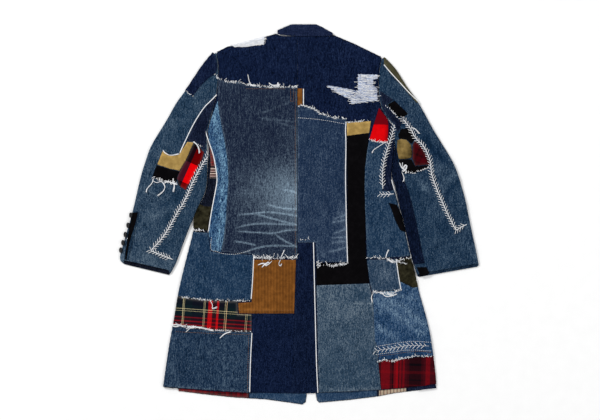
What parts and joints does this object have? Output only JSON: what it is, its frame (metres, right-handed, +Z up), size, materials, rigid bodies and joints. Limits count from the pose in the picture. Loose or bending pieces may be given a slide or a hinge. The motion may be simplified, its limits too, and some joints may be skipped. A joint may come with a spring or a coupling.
{
  "type": "patched boro denim coat",
  "caption": "Long tailored denim coat of overlapping patches in boro style, laid face down with its back up, sleeves out, and a centre vent.",
  "frame": {"origin": "middle of the coat's outline, on the surface that it lies on", "axes": "+Z up out of the coat's back, +Y from hem to collar, the wearer's left at -X"},
  "size_m": [0.972, 1.026, 0.0153],
  "materials": {
    "denim_navy": "raw dark navy denim, matt twill",
    "denim_indigo": "worn indigo denim with whisker fades",
    "denim_mid": "even mid-blue denim",
    "denim_teal": "washed blue denim with a green cast",
    "denim_faded": "pale grey-blue washed denim",
    "denim_bleached": "bleached denim",
    "denim_shredded": "shredded denim showing white cotton weft",
    "corduroy_brown": "wide-wale brown corduroy",
    "twill_tan": "tan cotton twill",
    "twill_olive": "dark olive twill",
    "twill_khaki": "dark khaki twill",
    "cloth_black": "black napped cotton",
    "cloth_red": "red flannel",
    "plaid_red": "dark red and black plaid flannel",
    "plaid_tartan": "dark green and navy tartan with red and yellow lines",
    "stripe_cream": "cream cloth with narrow red and black stripes",
    "button_black": "satin black horn-like plastic"
  },
  "bodies": {
    "root": {"front_left": "denim_mid", "front_right": "denim_mid", "lapel_left": "denim_navy", "lapel_right": "denim_navy", "collar_end_left": "denim_navy", "collar_end_right": "denim_navy", "collar": "denim_navy", "back_left": "denim_navy", "back_right": "denim_navy", "side_left": "denim_indigo", "side_right": "denim_navy", "front_button_1": "button_black", "front_button_2": "button_black", "front_button_3": "button_black", "patch_shoulder_shredded": "denim_shredded", "patch_faded_left": "denim_indigo", "strip_bleached_left": "denim_bleached", "strip_corduroy_neck": "corduroy_brown", "patch_centre_blue": "denim_mid", "patch_shredded_right": "denim_shredded", "strip_tan": "twill_tan", "patch_black_corner": "cloth_black", "patch_red": "cloth_red", "patch_teal_right": "denim_teal", "wedge_black": "cloth_black", "sliver_plaid_left": "plaid_red", "sliver_striped_left": "stripe_cream", "sliver_olive_left": "twill_olive", "panel_vent": "denim_navy", "patch_corduroy": "corduroy_brown", "patch_hip_left": "denim_teal", "patch_tartan": "plaid_tartan", "patch_hem_left": "denim_teal", "patch_light_denim": "denim_faded", "patch_small_denim": "denim_mid", "patch_olive": "twill_olive", "patch_hip_right": "denim_faded", "patch_plaid_hem": "plaid_red", "sleeve_left": "denim_teal", "sleeve_left_cap": "denim_navy", "sleeve_left_tan": "twill_tan", "sleeve_left_black": "cloth_black", "sleeve_left_plaid": "cloth_red", "cuff_left_placket": "denim_teal", "sleeve_right": "denim_teal", "sleeve_right_shoulder_strip": "twill_khaki", "sleeve_right_black_upper": "cloth_black", "sleeve_right_black_middle": "cloth_black", "sleeve_right_tan": "twill_tan", "sleeve_right_plaid": "plaid_red", "sleeve_right_black_lower": "cloth_black", "cuff_right_black": "cloth_black", "cuff_button_1": "button_black", "cuff_button_2": "button_black", "cuff_button_3": "button_black", "cuff_button_4": "button_black", "cuff_button_5": "button_black"}
  },
  "joints": []
}
